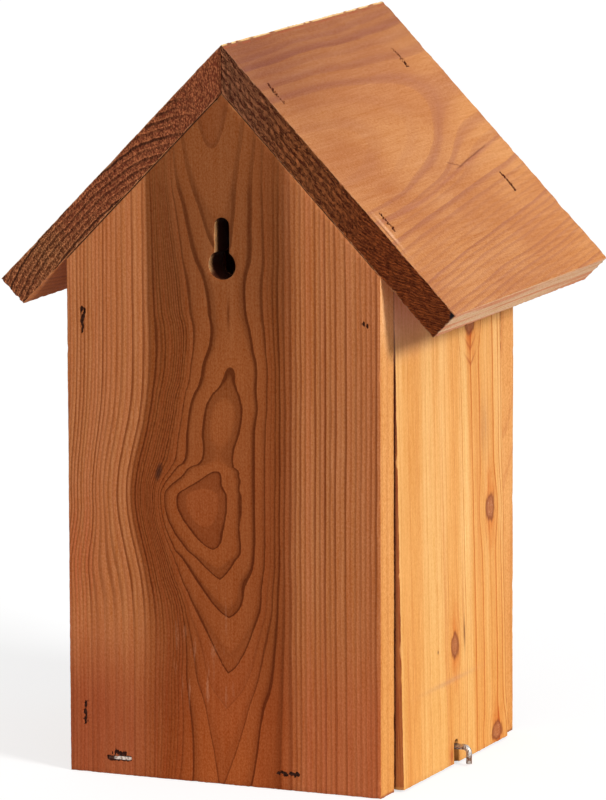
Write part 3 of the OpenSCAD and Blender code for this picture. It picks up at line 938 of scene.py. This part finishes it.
def metal(name, colour, dark, rust, roughness, rusty, tucked=None):
    """Drawn steel, dulled in spots, rusty over a share of it and wholly where x is past tucked."""
    material, tree, shader = new_material(name)
    coordinates = tree.nodes.new("ShaderNodeTexCoord")
    place = Field(tree, coordinates.outputs["Object"])
    spots = place.noise((900.0, 900.0, 900.0), detail=3.0)
    patches = place.noise((420.0, 420.0, 420.0), detail=4.0, roughness=0.7, offset=3.0)
    crust = patches.step(0.62 - 0.3 * rusty, 0.72 - 0.3 * rusty)
    if tucked is not None:
        beyond = place.parts()[0] + (patches - 0.5) * 0.004
        crust = crust.math("MAXIMUM", beyond.step(tucked, tucked + 0.001))
    tone = spots.ramp([(0.35, dark), (0.62, colour)]).mix(rgb(*rust), crust)
    feed(tree, shader.inputs["Base Color"], tone)
    feed(tree, shader.inputs["Metallic"], 1.0 - crust * 0.85)
    polish = spots.step(0.3, 0.7, roughness + 0.15, roughness - 0.1)
    feed(tree, shader.inputs["Roughness"], polish + crust * 0.35)
    bump(shader, spots * 0.4 + crust, 0.6, 0.2 * MM)
    return material


# ---- The boards of the box ----

def staple_names(group, count):
    return [f"{group}_{i + 1}" for i in range(count)]


def end_board(name, node, seed, facing, material, holes):
    """Back or front board: a gable with its holes, staple dents and nail dent."""
    board = Board(name, seed, BOARD_T, (0, facing * HALF_D, 0), (0, 0, 1), (0, facing, 0))
    outline = [(-HALF_W, 0), (HALF_W, 0), (HALF_W, EAVE_H), (0, APEX_H), (-HALF_W, EAVE_H)]
    board.add_loop(sampled(outline, (1.2, 1.6, 1.8, 1.8, 1.6)), ease=0.32, chips=16)
    for hole in holes:
        board.add_loop(hole, ease=0.25, rough=0.5)
    side = node.split("_")[0]
    for staple in staple_names(f"{side}_side_staple", 2) + staple_names(f"{side}_floor_staple", 2):
        bare = staple.endswith("floor_staple_1")
        board.add_dent(staple, margin=0.05 if bare else -0.4, ragged=0.2 if bare else 0.4)
        if bare:
            centre = board.dents[-1][0]
            board.dents.append((centre + [0.4, 2.3], np.array([2.6, 0.5]), 0.45, 0.7))
    board.add_dent(f"pivot_nail_{side}", margin=-1.9, depth=0.7, ragged=0.6)
    board.build()
    board.press_dents()
    board.weather(touching=board.wood[:, 2] > BOARD_T - 0.01)
    return board.make(material, "box", node)


def keyhole():
    """Outline of the hanger keyhole, with the wood on its left."""
    rim = node_points("back_board")
    low_rim = rim[(np.abs(rim[:, 0]) < 20) & (rim[:, 2] > 200) & (rim[:, 2] < 270)]
    radius = low_rim[:, 0].max()
    centre = low_rim[:, 2].min() + radius
    top = low_rim[:, 2].max()
    slot = low_rim[low_rim[:, 2] > top - 3, 0].max()
    rise = top - slot
    meet = math.degrees(math.asin(slot / radius))
    points = [arc((0, centre), radius, 90 - meet, -270 + meet, 0.8)]
    neck = centre + math.sqrt(radius ** 2 - slot ** 2)
    left = [(-slot, neck + (rise - neck) * i / 8) for i in range(8)]
    right = [(slot, rise + (neck - rise) * i / 8) for i in range(8)]
    points += [left, arc((0, rise), slot, 180, 0, 0.7), right]
    return np.concatenate(points)


def entrance():
    rim = node_points("front_board")
    hole = rim[(np.abs(rim[:, 0]) < 30) & (rim[:, 2] > 150) & (rim[:, 2] < 230)]
    radius = hole[:, 0].max()
    return arc((0, hole[:, 2].max() - radius), radius, 360, 0, 1.1)


def fixed_side(material):
    low, high = node_box("fixed_side")
    board = Board("fixed_side_board", 300, BOARD_T, (high[0], 0, 0), (0, 0, 1), (1, 0, 0))
    outline = rectangle(*board.limits([low, high]))
    board.add_loop(sampled(outline, (1.3, 1.8, 1.3, 1.8)), ease=0.35, chips=10)
    board.build()
    wall = (board.rim > 0.99) & (board.end < 0.5)
    board.weather(touching=wall | (board.wood[:, 2] > BOARD_T - 0.01))
    return board.make(material, "box", "fixed_side")


def door(material):
    """The side door, modelled closed and turned to where it rests ajar."""
    pivot = np.array(DOOR_HINGE["pos_m"]) / MM
    ajar = -math.radians(DOOR_HINGE["range_deg"][0])
    turn = np.array(Matrix.Rotation(ajar, 3, "Y"))
    closed = (node_points("side_door") - pivot) @ turn + pivot
    low, high = closed.min(axis=0), closed.max(axis=0)
    board = Board("side_door_board", 400, BOARD_T, (low[0], 0, 0), (0, 0, 1), (-1, 0, 0))
    u0, v0, u1, v1 = board.limits([low, high])
    wood = board.to_wood(closed)
    slot = wood[(np.abs(wood[:, 0]) < 10) & (wood[:, 1] < 30) & (wood[:, 1] > v0 + 1)]
    half, top = np.abs(slot[:, 0]).max(), slot[:, 1].max()
    spring = top - half
    waist = (v0 + spring) / 2
    outline = [spaced((u0, v0), (-half, v0), 1.4), [(-half, v0), (-half, waist)],
               arc((0, spring), half, 180, 0, 0.7), [(half, spring), (half, waist)],
               spaced((half, v0), (u1, v0), 1.4), spaced((u1, v0), (u1, v1), 1.8),
               spaced((u1, v1), (u0, v1), 1.4), spaced((u0, v1), (u0, v0), 1.8)]
    board.add_loop(np.concatenate(outline), ease=0.35, chips=14)
    board.settle = lambda points: (points - pivot) @ turn.T + pivot
    board.build()
    board.weather()
    return board.make(material, "door", "side_door")


def floor(material):
    low, high = node_box("floor_board")
    board = Board("floor_plank", 500, high[2] - low[2], (0, 0, high[2]), (1, 0, 0), (0, 0, 1))
    outline = rectangle(*board.limits([low, high]))
    board.add_loop(sampled(outline, (1.6, 2, 1.6, 2)), ease=0.4, chips=8)
    board.build(spacing=3.2)
    free_end = board.wood[:, 1] < outline[0][1] + 1
    board.weather(end=0.2, touching=(board.rim > 0.99) & ~free_end)
    return board.make(material, "box", "floor_board")


def roof_board(name, node, seed, side, material, staples):
    """Roof board over one side (-1 the door's, +1 the fixed one), mitred at the ridge."""
    slope = np.array([side * math.cos(PITCH), 0, -math.sin(PITCH)])
    normal = np.array([side * math.sin(PITCH), 0, math.cos(PITCH)])
    along = np.cross(normal, slope)
    low, high = node_box(node)
    start = high[1] if along[1] < 0 else low[1]
    board = Board(name, seed, ROOF_T, (0, start, RIDGE_H), along, normal)
    eave = board.to_wood(node_points(node))[:, 0].max()
    board.add_loop(sampled(rectangle(0, 0, eave, ROOF_D), (0.95, 1.5, 0.95, 1.5)), ease=0.4,
                   chips=30, chip_size=(0.3, 1.1), rough=0.45)
    mitre = math.tan(PITCH)

    def bend(wood):
        bent = wood.copy()
        bent[:, 0] = eave - (eave - wood[:, 0]) * (eave - wood[:, 2] * mitre) / eave
        return bent

    board.bend = bend
    for staple in staples:
        board.add_dent(staple, margin=-0.36, ragged=0.7)
    board.build(row_step=0.95)
    board.press_dents()
    board.weather(end=0.5)
    return board.make(material, "box", node)


end_board("back_gable", "back_board", seed=100, facing=1, material=back_timber(),
          holes=[keyhole()])
end_board("front_gable", "front_board", seed=200, facing=-1, material=front_timber(),
          holes=[entrance()])
plain_side = plain_side_timber()
fixed_side(plain_side)
door(door_timber())
floor(plain_side)
door_slope = roof_timber("roof_door_timber", seed=4.0, axis=66.0, ends=torn_end, split_share=0.8,
                         chip_colour=(226, 160, 100))
roof_board("roof_door_slope", "roof_board_door_side", seed=600, side=-1, material=door_slope,
           staples=staple_names("roof_door_staple", 4))
fixed_slope = roof_timber("roof_fixed_timber", seed=5.0, axis=84.0, ends=speckled_end,
                          split_share=0.0, chip_colour=(120, 70, 44))
roof_board("roof_fixed_slope", "roof_board_fixed_side", seed=700, side=1, material=fixed_slope,
           staples=staple_names("roof_fixed_staple", 4))

rusty_steel = metal("rusty_steel", (98, 62, 44), (52, 28, 18), (70, 34, 20), 0.6, rusty=0.8)
# The last 3.6 mm of the bare staple's crown are rusty
crown_high = node_box("back_floor_staple_1")[1]
bright_steel = metal("bright_steel", (220, 206, 194), (160, 138, 124), (82, 42, 26), 0.4, rusty=0.15,
                     tucked=(crown_high[0] - 3.6) * MM)
hook_steel = metal("hook_steel", (206, 200, 194), (140, 128, 118), (112, 70, 44), 0.35, rusty=0.4)
for name, node in NODES.items():
    if "staple" in name or "nail" in name or "hook" in name:
        bare = name.endswith("floor_staple_1")
        node.data.materials.clear()
        node.data.materials.append(hook_steel if "hook" in name else
                                   bright_steel if bare else rusty_steel)


# ---- Stage, lights and camera ----

def seen_share(tree):
    """1 for what the camera sees, also in a reflection, and 0 for what only lights the object."""
    path = tree.nodes.new("ShaderNodeLightPath")
    seen = Field(tree, path.outputs["Is Camera Ray"])
    for kind in ("Is Glossy Ray", "Is Transmission Ray"):
        seen = seen.math("MAXIMUM", Field(tree, path.outputs[kind]))
    return seen


def stage_floor():
    """Plain pale floor that reads white to the camera and keeps the object's soft shadow."""
    mesh = bpy.data.meshes.new("stage_floor")
    reach = 30.0
    mesh.from_pydata([(-reach, -reach, 0), (reach, -reach, 0), (reach, reach, 0), (-reach, reach, 0)],
                     [], [(0, 1, 2, 3)])
    ground = add_object("stage_floor", mesh)
    material, tree, shader = new_material("stage_floor")
    shader.inputs["Base Color"].default_value = (0.42, 0.42, 0.42, 1.0)
    shader.inputs["Roughness"].default_value = 1.0
    shader.inputs["Specular IOR Level"].default_value = 0.0
    shader.inputs["Emission Color"].default_value = (1, 1, 1, 1)
    feed(tree, shader.inputs["Emission Strength"], seen_share(tree) * 0.69)
    mesh.materials.append(material)


def sun(name, toward, strength, width):
    """Sun lamp that stands in the direction toward, as wide as so many degrees."""
    lamp = bpy.data.lights.new(name, "SUN")
    lamp.energy = strength
    lamp.angle = math.radians(width)
    add_object(name, lamp).rotation_euler = Vector(toward).to_track_quat("Z", "Y").to_euler()


def world(ambient):
    scene_world = bpy.data.worlds.new("studio")
    bpy.context.scene.world = scene_world
    scene_world.use_nodes = True
    tree = scene_world.node_tree
    strength = seen_share(tree) * (1 - ambient) + ambient
    feed(tree, tree.nodes["Background"].inputs["Strength"], strength)
    tree.nodes["Background"].inputs["Color"].default_value = (1, 1, 1, 1)


def camera(azimuth, elevation, roll, distance, aim_side, aim_height, lens):
    """Camera on a circle round the object; aim_side shifts the aim to the camera's right."""
    turn, rise, tilt = (math.radians(angle) for angle in (azimuth, elevation, roll))
    back = Vector((math.sin(turn) * math.cos(rise), -math.cos(turn) * math.cos(rise), math.sin(rise)))
    right = Vector((0, 0, 1)).cross(back).normalized()
    up = back.cross(right)
    target = right * aim_side + Vector((0, 0, aim_height))
    tilted_right = right * math.cos(tilt) + up * math.sin(tilt)
    tilted_up = up * math.cos(tilt) - right * math.sin(tilt)
    data = bpy.data.cameras.new("camera")
    data.sensor_fit = "HORIZONTAL"
    data.lens = lens
    data.clip_end = 100
    place = Matrix((tilted_right, tilted_up, back)).transposed().to_4x4()
    place.translation = target + back * distance
    holder = add_object("camera", data)
    holder.matrix_world = place
    bpy.context.scene.camera = holder


stage_floor()
world(ambient=0.42)
sun("key", toward=(-0.85, 0.30, 0.42), strength=2.45, width=15)
sun("fill", toward=(-0.2, 0.9, 0.45), strength=0.45, width=60)
camera(azimuth=203.751, elevation=9.784, roll=-0.186, distance=3.2066,
       aim_side=0.004334, aim_height=0.159804, lens=426.6)
bpy.context.scene.view_settings.view_transform = "Standard"
